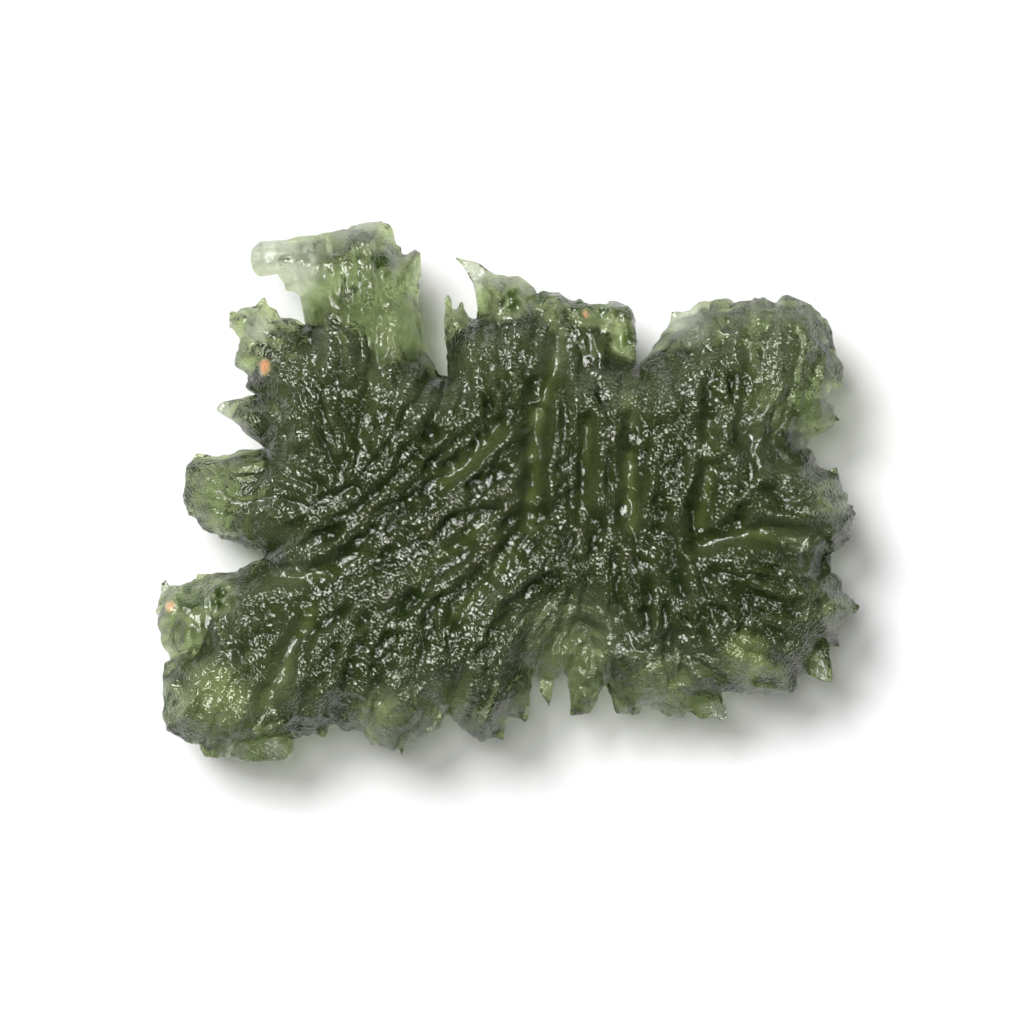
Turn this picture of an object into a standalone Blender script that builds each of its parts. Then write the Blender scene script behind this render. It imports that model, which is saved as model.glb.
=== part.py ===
"""Moldavite: one natural piece of green tektite glass, etched into deep furrows.

The stone is a thin-rimmed disc. Its rim is cut by notches into lobes, teeth and
a hooked flap, and its two faces swell to a thick middle. Both faces are built on
the same outline, each as a sheet of facets over a height field, and a narrow
wall closes them along the rim. Lengths here are millimetres; the mesh is made
in metres, resting on z = 0 with +X to the right and +Y to the top of the stone.
"""
import math

import bpy
import numpy as np
from mathutils import Vector, noise
from mathutils.geometry import delaunay_2d_cdt

NODE = "moldavite"
MM = 0.001

# ---- Driving dimensions, mm ---------------------------------------------
EDGE_THICKNESS = 0.45     # of the rim itself
EDGE_VARIATION = 0.9      # share by which that differs from place to place
EDGE_CHANGE = 2.3         # the distance over which it differs
TOP_SWELL = 2.5           # of the upper face above the rim's middle, far from the rim
TOP_REACH = 0.95          # how far in from the rim it climbs
UNDER_SWELL = 4.8         # of the underside below the rim's middle
UNDER_REACH = 4.0
SWELL_POWER = 1.2         # above 1, the faces leave the rim slowly and then climb
RIM_HEIGHT = 4.1          # of the rim's middle above the table
RIM_WAVE = 0.45           # how far the rim rises and dips on its way round
RIM_WAVES = 3.0           # how often it does so
RIM_WAVE_TURN = 0.7       # where it first rises, radians from +X
RIM_WAVE_FADE = 9.0       # distance from the middle within which that dies out
WINDOW_TOP_SHARE = 0.18   # of a window's thinning that is taken from the upper face
WINDOW_EDGE = 1.6         # radii from a window's centre where its thinning ends
PIT_EDGE = 1.25           # radii from a pit's centre where its bowl ends
FOOT_CLEARANCE = 0.15     # of the underside beyond the worn foot
FOOT_BLEND = 1.6          # how wide a strip round the foot curves up from the table
RIDGE_SPACING = 0.98      # between neighbouring ridges of the upper face
UNDER_RIDGE_SPACING = 1.45  # and of the underside
RIDGE_LENGTH = 4.2        # where a ridge breaks off
SHORTEST_RIDGE = 0.5
RIDGE_HEIGHT = 0.42       # of the ridges between the named ones
UNDER_RIDGE_HEIGHT = 0.40
VALLEY_SHARE = 0.5        # of the ridge spacing, for the lines along the valley floors
RIDGE_CROWDING = 0.72     # share of the spacing below which a ridge breaks off
CORNER_STEP = 0.72        # of the facets' corners along a ridge
UNDER_CORNER_STEP = 1.0
NET_SHARE = 0.62          # of the ridge spacing, for the corners between the lines
CORNER_ROOM = 0.46        # share of the ridge spacing that two corners keep apart
EDGE_ROOM = 0.3           # and that a corner keeps from the rim and the foot
FOOT_STEP = 2.2           # longest step between two corners of the foot
LEDGE_STEP = 0.5          # between the corners along a ledge
BORDER_STEP = 0.3         # between the places that stand for the rim in the walks
RIM_STEP = 0.62           # longest step between two corners of the rim
RIM_MARGIN = 0.32         # that a ridge between the named ones keeps to the rim
TRACE_STEP = 0.2          # of the walk that lays out a ridge
BUMP_SIZE = 2.6           # of the broad swellings
BUMP_HEIGHT = 0.30
GRAIN_SIZE = 1.15         # of the small lumps on them
GRAIN_HEIGHT = 0.15
GUIDE_BLEND = 0.3         # mm2; larger values blend the guide strokes' directions further
# Layers of the random field, so that no two swellings repeat each other.
EDGE_LAYER, TOP_BUMPS, TOP_GRAIN, UNDER_BUMPS, UNDER_GRAIN = 21.0, 1.0, 5.0, 9.0, 13.0
FULL_RELIEF = 2.6         # the stone's thickness from which relief has its full height

# ---- The rim, clockwise from the foot of the hooked flap, mm --------------
HOOKED_FLAP = [
    (-10.05, 8.3), (-10.15, 8.8), (-10.3, 9.7), (-10.55, 9.85), (-11.0, 10.0), (-11.1, 10.35),
    (-11.45, 10.8), (-11.9, 10.72), (-12.35, 10.67), (-12.65, 11.0), (-12.77, 11.45),
    (-12.7, 12.0), (-12.5, 12.25), (-12.25, 12.43), (-11.6, 12.46), (-11.0, 12.5),
    (-10.4, 12.65), (-9.4, 12.75), (-8.0, 13.08), (-7.0, 13.33), (-6.3, 13.4), (-5.9, 13.27),
    (-5.7, 13.05), (-5.63, 12.7), (-5.5, 12.25), (-5.28, 12.17), (-5.25, 11.85),
    (-5.0, 11.75), (-4.6, 12.02), (-4.35, 11.9), (-4.3, 11.0), (-4.4, 10.3), (-4.4, 9.3),
    (-4.25, 8.7), (-4.1, 7.4), (-4.0, 6.8), (-3.65, 6.35), (-3.4, 5.8), (-3.0, 5.75)]
BLADE_AND_HOOK = [
    (-3.0, 6.5), (-3.1, 7.5), (-3.13, 9.5), (-2.97, 9.82), (-2.75, 9.5), (-2.72, 9.1),
    (-2.5, 9.1), (-2.3, 9.4), (-2.15, 9.05), (-1.9, 8.75), (-1.5, 8.58), (-1.5, 9.2),
    (-1.58, 9.8), (-1.75, 10.4), (-2.1, 11.05), (-2.6, 11.62), (-2.0, 11.5), (-1.4, 11.35),
    (-0.9, 10.95), (-0.5, 10.75), (0.0, 10.7), (0.5, 10.72), (0.9, 10.5), (1.3, 10.15),
    (1.48, 9.75)]
SERRATED_LOBE = [
    (1.62, 9.95), (1.8, 10.02), (2.0, 9.9), (2.5, 9.86), (3.0, 9.52), (3.4, 9.46),
    (3.65, 9.58), (3.8, 9.36), (4.3, 9.32), (4.6, 9.3), (4.9, 9.28), (5.1, 9.45),
    (5.45, 9.52), (5.95, 9.2), (6.28, 8.85), (6.32, 8.4), (6.45, 7.8), (6.38, 7.0),
    (6.42, 6.5)]
UPPER_RIGHT_LOBE = [
    (6.6, 6.42), (7.0, 6.75), (7.2, 7.1), (7.65, 7.85), (7.9, 8.05), (8.05, 8.4),
    (8.15, 8.95), (8.6, 8.9), (9.0, 9.0), (9.2, 9.25), (9.5, 9.42), (10.2, 9.48),
    (10.75, 9.57), (11.0, 9.53), (11.25, 9.37), (11.5, 9.46), (12.6, 9.63), (12.9, 9.52),
    (13.15, 9.38), (13.4, 9.4), (13.6, 9.68), (13.8, 9.75), (14.1, 9.66), (14.6, 9.45),
    (15.1, 9.2), (15.55, 8.68), (15.75, 8.6), (16.0, 8.15), (16.15, 7.9), (16.2, 7.2),
    (16.28, 6.8), (16.5, 6.45), (16.62, 6.1), (16.66, 5.5), (16.6, 5.22), (16.2, 5.1),
    (15.9, 4.9), (15.88, 4.65), (16.1, 4.35), (16.3, 3.75), (16.5, 3.55), (16.3, 3.48),
    (16.2, 3.2), (15.9, 3.03), (15.4, 2.8), (15.0, 2.5)]
RIGHT_LOBES = [
    (14.85, 2.2), (15.05, 2.1), (15.2, 1.8), (15.3, 1.4), (15.55, 1.15), (15.9, 1.02),
    (16.3, 1.15), (16.5, 0.5), (16.6, 0.1), (16.9, -0.2), (16.95, -0.5), (17.15, -0.75),
    (17.3, -1.1), (17.0, -1.8), (17.08, -2.25), (16.5, -2.8), (16.1, -3.0), (16.05, -3.5),
    (16.05, -4.0), (16.4, -4.2), (16.6, -4.5), (16.65, -4.9), (16.95, -5.25),
    (17.25, -5.45), (17.48, -5.72), (17.2, -6.05), (16.8, -6.35), (16.5, -6.7),
    (16.42, -7.4), (16.5, -7.75), (16.1, -7.73), (16.0, -8.1), (16.15, -9.2),
    (16.0, -9.42), (15.5, -9.38), (14.85, -9.07), (14.5, -9.15), (14.35, -9.35),
    (14.33, -9.7), (14.15, -9.98), (13.8, -10.05), (13.0, -10.07), (11.4, -9.98),
    (10.8, -9.9)]
BOTTOM_TEETH = [
    (10.55, -9.97), (10.8, -10.65), (10.93, -11.0), (10.85, -11.3), (10.7, -11.4),
    (10.3, -11.2), (9.6, -11.28), (9.1, -11.02), (8.9, -10.95), (8.72, -11.2),
    (8.3, -11.18), (7.9, -11.2), (7.5, -10.85), (7.0, -10.6), (6.7, -10.68), (6.55, -11.05),
    (6.35, -11.12), (6.0, -11.02), (5.4, -11.0), (5.25, -10.7), (5.15, -10.1), (4.9, -9.62),
    (4.6, -9.85), (4.4, -10.4), (4.25, -10.75), (4.0, -10.95), (3.7, -11.05), (3.15, -11.1),
    (3.12, -10.5), (3.0, -9.3), (2.85, -9.08), (2.6, -9.05), (2.35, -9.4), (2.2, -10.0),
    (2.05, -10.68), (1.95, -10.45), (1.55, -9.85), (1.65, -9.6), (1.55, -9.3), (1.4, -9.08),
    (1.2, -9.3), (1.1, -9.8), (1.0, -11.0), (0.9, -11.42), (0.55, -11.2), (0.02, -11.1),
    (-0.15, -11.8), (-0.25, -12.3), (-0.6, -12.18), (-0.9, -12.18), (-1.3, -12.42),
    (-1.5, -12.35), (-1.9, -11.95), (-2.45, -11.5), (-2.85, -11.12)]
BOTTOM_LOBES = [
    (-3.15, -11.02), (-3.4, -11.7), (-3.9, -11.95), (-4.4, -12.25), (-4.9, -12.5),
    (-5.15, -12.68), (-5.25, -13.1), (-5.4, -12.78), (-5.75, -12.85), (-6.1, -12.65),
    (-6.5, -12.5), (-6.8, -12.55), (-7.0, -12.2), (-7.25, -11.9), (-8.15, -11.88),
    (-8.45, -11.55), (-8.85, -11.55), (-9.1, -12.15), (-9.5, -12.03), (-10.1, -12.1),
    (-10.6, -12.3), (-10.7, -12.8), (-10.85, -13.1), (-11.3, -13.33), (-11.8, -13.37),
    (-12.4, -13.35), (-13.0, -13.42), (-13.45, -13.2), (-14.0, -13.2), (-14.5, -13.25),
    (-15.0, -13.18), (-15.2, -12.85), (-15.28, -12.6)]
LEFT_LOBES = [
    (-16.0, -12.35), (-16.5, -12.1), (-17.0, -11.75), (-17.13, -11.25), (-17.05, -10.4),
    (-17.1, -9.45), (-17.05, -8.52), (-16.7, -8.4), (-16.85, -8.0), (-17.1, -7.7),
    (-17.3, -6.9), (-17.45, -6.35), (-17.45, -6.0), (-17.38, -5.5), (-17.2, -5.0),
    (-17.15, -4.6), (-17.0, -4.4), (-16.8, -4.65), (-16.4, -4.7), (-16.0, -4.6),
    (-15.4, -4.35), (-15.4, -4.12), (-14.3, -4.05), (-13.6, -3.98), (-12.9, -3.65),
    (-12.05, -3.25), (-12.3, -2.95), (-12.9, -2.78), (-13.4, -2.5), (-14.1, -2.4),
    (-14.55, -2.1), (-15.2, -1.88), (-15.4, -1.35), (-15.8, -1.2), (-15.95, -0.85),
    (-16.13, -0.2), (-16.0, 0.4), (-15.93, 1.3), (-15.65, 1.55), (-15.5, 1.9),
    (-14.3, 1.78), (-13.9, 1.8), (-13.4, 2.08), (-12.9, 2.1), (-12.1, 2.15)]
CROWN = [
    (-12.3, 2.35), (-13.0, 2.85), (-13.8, 3.6), (-14.45, 4.05), (-14.2, 4.4), (-14.0, 4.5),
    (-13.3, 4.6), (-12.85, 4.78), (-12.5, 4.82), (-12.7, 4.95), (-13.0, 5.2), (-12.88, 5.7),
    (-13.0, 5.92), (-13.55, 6.27), (-13.5, 6.6), (-13.3, 7.1), (-13.25, 7.6), (-13.5, 7.95),
    (-13.78, 8.15), (-13.8, 8.85), (-13.42, 8.95), (-13.3, 9.13), (-12.8, 9.15),
    (-12.5, 9.25), (-12.08, 9.65), (-11.93, 9.3), (-11.75, 9.1), (-11.5, 9.0),
    (-11.25, 8.65), (-10.6, 8.6), (-10.2, 8.4)]
RIM = (HOOKED_FLAP + BLADE_AND_HOOK + SERRATED_LOBE + UPPER_RIGHT_LOBE + RIGHT_LOBES
       + BOTTOM_TEETH + BOTTOM_LOBES + LEFT_LOBES + CROWN)

# Notches in the rim: each runs on inwards as a furrow on both faces. Mouth, inner end.
NOTCHES = [
    ((-3.2, 5.7), (-3.9, 1.9)), ((6.5, 6.4), (6.0, 2.4)), ((14.85, 2.2), (11.4, 2.6)),
    ((-12.0, -3.3), (-9.3, -2.3)), ((-12.1, 2.15), (-9.4, 1.6)), ((-12.5, 4.8), (-9.9, 4.3)),
    ((-10.1, 8.3), (-9.3, 5.4)), ((16.0, -3.6), (12.6, -3.8)), ((16.1, -7.9), (12.9, -6.7)),
    ((1.4, -9.1), (0.9, -5.4)), ((4.9, -9.6), (4.3, -6.0)), ((-3.1, -11.0), (-2.4, -7.6)),
    ((-8.7, -11.5), (-7.3, -8.8)), ((-10.6, -12.3), (-9.9, -9.2)), ((-16.7, -8.4), (-13.7, -7.7)),
    ((1.5, 9.7), (1.9, 6.0)), ((8.9, -10.9), (8.3, -8.2)), ((11.2, 9.4), (10.6, 6.0))]
NOTCH_DEPTH = 0.55
NOTCH_WIDTH = 0.50
NOTCH_FADE = 0.7          # share of the depth lost by the inner end

# Sharp ridges of the upper face: crest height, then the line of the crest.
RIDGES = [
    # across the middle, running down to the left
    (0.50, [(0.2, 2.8), (-1.6, 1.0), (-3.0, 0.1)]),
    (0.42, [(1.0, 1.6), (0.2, 0.4), (-0.9, -0.5)]),
    (0.45, [(0.75, -0.4), (-0.7, -1.4), (-1.6, -2.3)]),
    (0.40, [(-2.1, -0.15), (-2.9, -0.85), (-3.8, -1.85), (-5.0, -2.6)]),
    (0.45, [(-0.4, -2.3), (-1.6, -3.45), (-2.55, -4.0), (-3.7, -5.05)]),
    (0.45, [(1.3, -4.0), (-0.15, -5.15), (-0.85, -5.85), (-1.4, -7.45)]),
    (0.45, [(-3.0, -3.0), (-4.15, -3.45), (-5.05, -3.8), (-6.4, -4.9)]),
    (0.40, [(-5.0, 0.6), (-6.2, -0.4), (-7.3, -1.6)]),
    (0.40, [(-8.2, -0.8), (-9.6, -1.6), (-11.05, -3.4)]),
    # lower left
    (0.45, [(-5.9, -4.5), (-7.4, -5.65), (-8.0, -6.5), (-9.2, -7.5)]),
    (0.50, [(-4.4, -3.9), (-5.85, -5.1), (-6.45, -6.25), (-7.9, -7.5), (-8.4, -8.65)]),
    (0.40, [(-6.8, -4.2), (-8.4, -5.3), (-9.5, -6.2)]),
    (0.40, [(-8.4, -9.2), (-9.2, -10.1), (-9.5, -11.2)]),
    (0.42, [(-11.3, -7.0), (-12.0, -8.6), (-12.9, -10.2), (-13.5, -11.6)]),
    (0.38, [(-14.5, -6.5), (-14.2, -7.8), (-14.6, -8.5), (-15.4, -9.1)]),
    (0.38, [(-13.1, -5.1), (-11.5, -4.95), (-10.2, -5.0)]),
    (0.35, [(-4.6, -6.4), (-5.2, -8.4), (-5.4, -10.6)]),
    (0.35, [(-3.2, -6.2), (-3.5, -7.8), (-4.0, -9.6)]),
    (0.35, [(-14.9, 0.6), (-13.0, 0.1), (-11.5, 0.6), (-10.0, 0.0)]),
    # upper left
    (0.45, [(-7.9, 9.5), (-7.8, 7.25), (-7.75, 5.6)]),
    (0.35, [(-8.9, 8.5), (-8.9, 6.95), (-9.0, 5.7)]),
    (0.35, [(-9.0, 4.4), (-8.7, 3.4), (-8.2, 2.0)]),
    (0.35, [(-5.2, 4.4), (-5.85, 3.4), (-6.5, 2.2)]),
    (0.30, [(-5.9, 11.6), (-5.6, 9.6), (-5.5, 7.2), (-5.9, 5.6)]),
    (0.30, [(-12.9, 7.0), (-11.4, 6.3), (-10.4, 5.6)]),
    # upper middle
    (0.40, [(2.25, 8.6), (1.7, 7.4), (1.5, 6.0)]),
    (0.45, [(3.2, 5.9), (3.4, 4.5), (3.3, 2.6)]),
    (0.42, [(4.15, 4.8), (4.5, 3.4), (4.6, 1.4), (4.5, -0.6)]),
    (0.50, [(2.5, 4.5), (2.35, 2.6), (2.1, 1.2), (2.2, -0.4)]),
    (0.45, [(5.4, 5.45), (5.4, 3.0), (5.3, 1.0)]),
    (0.40, [(-0.9, 7.2), (-0.7, 5.4), (-0.6, 4.0)]),
    (0.35, [(0.5, 8.4), (0.4, 6.4), (0.5, 4.6)]),
    # right of the middle, upright
    (0.50, [(8.3, 4.4), (7.5, 1.95), (7.1, 0.25), (6.7, -1.4)]),
    (0.45, [(11.2, 4.2), (10.9, 3.0), (10.3, 1.7)]),
    (0.45, [(9.3, 2.6), (9.1, 0.6), (8.4, -0.6), (8.4, -1.75), (8.5, -2.8)]),
    (0.42, [(8.9, -3.3), (9.2, -4.8), (8.6, -6.5)]),
    (0.45, [(12.8, 0.63), (11.5, -0.32), (10.2, -1.47)]),
    (0.45, [(9.6, -3.4), (10.2, -3.2), (11.5, -2.8), (13.2, -3.2)]),
    (0.42, [(10.05, -4.5), (10.7, -5.3), (11.2, -6.4)]),
    (0.42, [(4.95, -1.9), (4.75, -3.1), (4.85, -5.4)]),
    (0.42, [(5.55, -2.1), (5.9, -4.6), (6.3, -6.4)]),
    (0.40, [(7.2, -3.0), (7.5, -4.8), (7.4, -7.0)]),
    (0.40, [(10.3, -7.6), (11.7, -8.45), (13.4, -8.9)]),
    (0.40, [(11.3, 1.9), (11.5, 0.6), (12.9, -1.1), (14.6, -1.3), (16.2, -0.8)]),
    (0.40, [(12.2, -4.6), (13.8, -5.1), (15.6, -5.0)]),
    (0.40, [(12.6, -6.4), (14.2, -6.4), (15.6, -6.2)]),
    (0.38, [(13.6, 0.9), (15.0, 0.6), (16.1, 0.5)]),
    # upper right lobe
    (0.38, [(11.0, 8.7), (11.4, 7.7), (11.3, 6.4)]),
    (0.35, [(12.5, 9.3), (12.4, 8.2), (12.3, 6.6)]),
    (0.38, [(13.7, 9.3), (13.5, 7.6), (13.6, 5.3), (13.2, 4.5)]),
    (0.38, [(15.7, 6.2), (15.4, 4.6), (15.3, 3.5)]),
    (0.38, [(14.9, 8.2), (14.7, 6.6), (14.6, 5.2)]),
    (0.38, [(9.7, 7.0), (10.4, 6.0), (10.6, 4.8)]),
    (0.38, [(6.6, 5.65), (6.3, 4.2), (7.2, 3.8), (7.9, 5.2)])]
RIDGE_WIDTH = 0.30

# Smooth troughs of the upper face: depth, then the line of the floor.
TROUGHS = [
    (0.55, [(-0.6, 3.05), (-2.1, 1.35), (-3.45, 0.55)]),
    (0.75, [(1.45, 3.9), (1.25, 0.9), (1.05, -1.75)]),
    (0.60, [(2.5, 7.75), (2.15, 5.8), (1.7, 4.5)]),
    (0.55, [(5.3, 8.3), (5.8, 5.2), (6.1, 3.5)]),
    (0.60, [(6.0, 1.7), (6.1, -1.75)]),
    (0.60, [(-9.7, -5.9), (-10.6, -7.2), (-11.2, -9.0), (-12.0, -11.0)]),
    (0.45, [(-1.0, -1.6), (-2.6, -2.7), (-4.6, -4.4)]),
    (0.45, [(0.6, -2.6), (-1.0, -4.3), (-2.6, -6.0)]),
    (0.45, [(9.9, 3.2), (9.9, 0.6), (9.6, -1.6)]),
    (0.50, [(14.6, -2.4), (12.0, -2.0), (9.4, -2.6)]),
    (0.40, [(3.9, 3.4), (3.9, 0.6), (3.6, -1.2)]),
    (0.40, [(-7.1, -3.2), (-9.2, -4.1), (-11.6, -4.3)]),
    (0.35, [(-6.8, 7.6), (-6.6, 5.2), (-7.2, 2.8)]),
    (0.35, [(12.0, 8.6), (12.0, 6.2), (12.4, 4.6)])]
TROUGH_WIDTH = 0.52

# Steep lips that stand along the rim.
LIPS = [
    (0.85, [(1.75, 9.75), (3.0, 9.3), (4.5, 9.1), (5.9, 9.0), (6.25, 8.3), (6.3, 7.2)]),
    (0.45, [(-13.6, 8.6), (-13.1, 7.6), (-13.2, 6.5)]),
    (0.45, [(-15.8, 1.0), (-15.9, 0.0)]),
    (0.55, [(-17.0, -9.2), (-17.0, -11.3)]),
    (0.50, [(13.6, -9.8), (11.6, -9.7), (9.6, -9.4)]),
    (0.45, [(14.3, 2.0), (15.0, 1.6)]),
    (0.40, [(-0.6, 9.9), (0.4, 10.1)])]
LIP_WIDTH = 0.42

# Places where the glass thins to a window: centre, radius, share of thickness left.
WINDOWS = [
    ((-11.3, 11.5), 2.2, 0.42), ((-9.4, 10.6), 2.6, 0.42), ((-6.8, 12.6), 2.2, 0.55),
    ((-5.7, 8.0), 2.2, 0.45), ((-0.6, 10.0), 1.9, 0.45), ((4.2, 7.7), 2.0, 0.42),
    ((8.9, 8.1), 1.6, 0.45), ((-2.6, 8.3), 1.2, 0.6), ((-15.6, -6.9), 1.9, 0.50),
    ((-12.9, -12.7), 2.2, 0.55), ((3.3, -7.7), 2.7, 0.45), ((7.4, -10.2), 2.4, 0.55),
    ((-14.1, 0.2), 2.0, 0.70), ((13.4, 3.1), 1.9, 0.55), ((-13.4, 3.9), 1.3, 0.70),
    ((-12.2, 7.9), 1.7, 0.60), ((-5.2, -11.4), 2.2, 0.65), ((14.6, 7.6), 2.6, 0.72),
    ((-13.2, -8.9), 2.0, 0.75), ((-1.2, -11.6), 1.4, 0.7)]

# Ledges: an upper lobe stops short, and a thin shelf runs on under it. Glass, outline.
LEDGES = [
    (0.8, [(14.8, -8.6), (15.1, -7.9), (15.75, -7.3), (17.2, -7.0), (17.2, -10.0), (14.6, -10.0)]),
    (0.8, [(15.45, -3.15), (15.5, -4.0), (16.6, -4.05), (16.6, -2.95)]),
    (0.8, [(8.6, -12.0), (8.7, -10.3), (9.4, -9.85), (10.6, -9.95), (11.4, -12.0)]),
    (0.9, [(-15.6, -12.3), (-13.9, -12.35), (-12.4, -12.1), (-10.9, -11.9), (-10.2, -13.9),
           (-15.8, -13.9)]),
    (1.6, [(1.2, -8.7), (1.75, -7.3), (3.2, -6.15), (4.4, -6.4), (4.6, -9.4), (3.0, -10.6),
           (1.3, -10.6)])]
LEDGE_SLOPE = 0.28        # width of the drop from the lobe to the shelf
LEDGE_SINK_RAMP = 1.6     # width over which the underside sinks with it
LEDGE_SINK = 0.5          # how far a shelf's glass lies below the rim round it

# Round pits: centre, radius, depth.
TOP_PITS = [
    ((-2.8, -9.6), 0.8, 0.7), ((9.8, 4.6), 0.7, 0.5), ((-7.9, -10.6), 0.7, 0.5), ((-9.9, 6.4), 0.6, 0.4)]
UNDER_PITS = [
    ((6.2, 3.4), 1.1, 0.6), ((-6.8, 4.6), 0.9, 0.5), ((9.6, -4.4), 1.0, 0.55),
    ((-9.8, -6.2), 1.2, 0.6), ((3.2, 6.4), 0.8, 0.4), ((-4.6, -7.6), 0.8, 0.45),
    ((12.6, 5.8), 0.9, 0.4), ((-11.6, 0.2), 0.8, 0.4), ((8.0, -7.6), 0.8, 0.4)]

# Long furrows of the underside, from the foot outwards: depth, line.
UNDER_FURROWS = [
    (0.6, [(5.6, 0.4), (9.4, 0.9), (13.2, 0.3)]), (0.6, [(5.0, -3.4), (7.6, -5.6), (9.2, -8.2)]),
    (0.6, [(0.6, -5.2), (0.2, -7.8), (-0.4, -10.2)]), (0.6, [(-5.6, -3.9), (-8.2, -6.6), (-11.4, -9.4)]),
    (0.6, [(-6.4, 0.8), (-9.6, 0.9), (-13.2, 0.4)]), (0.6, [(-4.6, 3.8), (-6.6, 6.9), (-7.9, 9.9)]),
    (0.6, [(0.4, 4.6), (0.2, 7.2), (0.0, 9.2)]), (0.6, [(4.4, 3.6), (8.2, 5.6), (12.4, 7.4)]),
    (0.45, [(6.2, -1.4), (10.2, -2.2), (14.4, -1.6)]), (0.45, [(-2.8, -5.0), (-4.8, -8.2), (-6.2, -10.9)]),
    (0.45, [(-6.6, -1.6), (-10.4, -2.9), (-14.6, -5.8)]), (0.45, [(6.0, 2.0), (9.8, 3.3), (13.9, 4.6)])]
UNDER_FURROW_WIDTH = 0.62
UNDER_RIDGE_WIDTH = 0.50

# The worn foot: one flat facet that the stone rests on.
FOOT = [(-4.3, -2.6), (-2.0, -3.9), (1.2, -4.1), (3.9, -3.0), (5.0, -0.8), (4.5, 1.7),
        (2.3, 3.3), (-0.9, 3.7), (-3.7, 2.5), (-5.1, 0.1)]


def segments(line, closed=False):
    """Start points and vectors of a line's straight stretches."""
    points = np.array(line + line[:1] if closed else line, dtype=float)
    return points[:-1], points[1:] - points[:-1]


def distance(places, line, closed=False):
    """How far each place is from a line."""
    nearest = np.full(len(places), np.inf)
    for start, step in zip(*segments(line, closed)):
        along = np.clip(((places - start) @ step) / (step @ step), 0.0, 1.0)
        gap = places - start - along[:, None] * step
        nearest = np.minimum(nearest, np.hypot(gap[:, 0], gap[:, 1]))
    return nearest


def inside(places, outline):
    """Whether each place lies inside a closed outline."""
    within = np.zeros(len(places), dtype=bool)
    for start, step in zip(*segments(outline, closed=True)):
        if step[1] == 0.0:
            continue
        crosses = (places[:, 1] >= start[1]) != (places[:, 1] >= start[1] + step[1])
        meet = start[0] + (places[:, 1] - start[1]) * step[0] / step[1]
        within ^= crosses & (places[:, 0] < meet)
    return within


def smooth(value):
    """An even ramp from 0 to 1."""
    value = np.clip(value, 0.0, 1.0)
    return value * value * (3.0 - 2.0 * value)


def profile(places, strokes, width):
    """Height of the tallest stroke at each place, each with a bell-shaped section."""
    height = np.zeros(len(places))
    for amount, line in strokes:
        height = np.maximum(height, amount * np.exp(-(distance(places, line) / width) ** 2))
    return height


def lumps(places, size, layer):
    """Even random swellings of about the given size, from -1 to 1."""
    return np.array([noise.noise(Vector((x / size, y / size, layer))) for x, y in places])


def pits(places, bowls):
    """Depth of the round bowls."""
    depth = np.zeros(len(places))
    for centre, radius, deep in bowls:
        away = np.hypot(places[:, 0] - centre[0], places[:, 1] - centre[1])
        depth = np.maximum(depth, deep * smooth(PIT_EDGE - away / radius))
    return depth


def swells(places):
    """How far each face stands off the rim's middle, before its relief."""
    inward = distance(places, RIM, closed=True)
    edge = EDGE_THICKNESS * (1.0 + EDGE_VARIATION * lumps(places, EDGE_CHANGE, EDGE_LAYER))
    upper = edge / 2.0 + TOP_SWELL * (1.0 - np.exp(-(inward / TOP_REACH) ** SWELL_POWER))
    lower = edge / 2.0 + UNDER_SWELL * (1.0 - np.exp(-(inward / UNDER_REACH) ** SWELL_POWER))
    share = np.ones(len(places))
    for centre, radius, left in WINDOWS:
        away = np.hypot(places[:, 0] - centre[0], places[:, 1] - centre[1])
        share = np.minimum(share, 1.0 - (1.0 - left) * smooth(WINDOW_EDGE - away / radius))
    taken = upper + lower - np.maximum((upper + lower) * share, edge)
    upper -= WINDOW_TOP_SHARE * taken
    lower -= (1.0 - WINDOW_TOP_SHARE) * taken
    for glass, outline in LEDGES:
        signed = np.where(inside(places, outline), 1.0, -1.0) * distance(places, outline, closed=True)
        lower += LEDGE_SINK * smooth(0.5 + signed / LEDGE_SINK_RAMP)
        dropped = np.minimum(upper, glass - lower)
        upper += (dropped - upper) * smooth(0.5 + signed / LEDGE_SLOPE)
    return upper, lower


def relief_strength(upper, lower):
    """Relief is full where the stone is thick, and fades on its thin parts."""
    return np.clip((upper + lower) / FULL_RELIEF, 0.0, 1.0)


def rim_level(places):
    """Height of the rim's middle, which rises and dips on its way round."""
    turn = np.arctan2(places[:, 1], places[:, 0])
    fade = smooth(np.hypot(*places.T) / RIM_WAVE_FADE)
    return RIM_HEIGHT + RIM_WAVE * np.sin(RIM_WAVES * turn + RIM_WAVE_TURN) * fade


def notch_furrows(places):
    """Depth of the furrows that run in from the rim's notches, shallower inwards."""
    depth = np.zeros(len(places))
    for mouth, end in NOTCHES:
        run = np.subtract(end, mouth)
        along = np.clip(((places - mouth) @ run) / (run @ run), 0.0, 1.0)
        fade = NOTCH_DEPTH * (1.0 - NOTCH_FADE * along)
        section = np.exp(-(distance(places, [mouth, end]) / NOTCH_WIDTH) ** 2)
        depth = np.maximum(depth, fade * section)
    return depth


def top_height(places, ridges):
    """Height of the upper face."""
    upper, lower = swells(places)
    strength = relief_strength(upper, lower)
    relief = profile(places, ridges, RIDGE_WIDTH) - profile(places, TROUGHS, TROUGH_WIDTH)
    relief += BUMP_HEIGHT * lumps(places, BUMP_SIZE, TOP_BUMPS)
    relief += GRAIN_HEIGHT * lumps(places, GRAIN_SIZE, TOP_GRAIN)
    relief -= notch_furrows(places) + pits(places, TOP_PITS)
    return rim_level(places) + upper + strength * relief + profile(places, LIPS, LIP_WIDTH)


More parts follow.
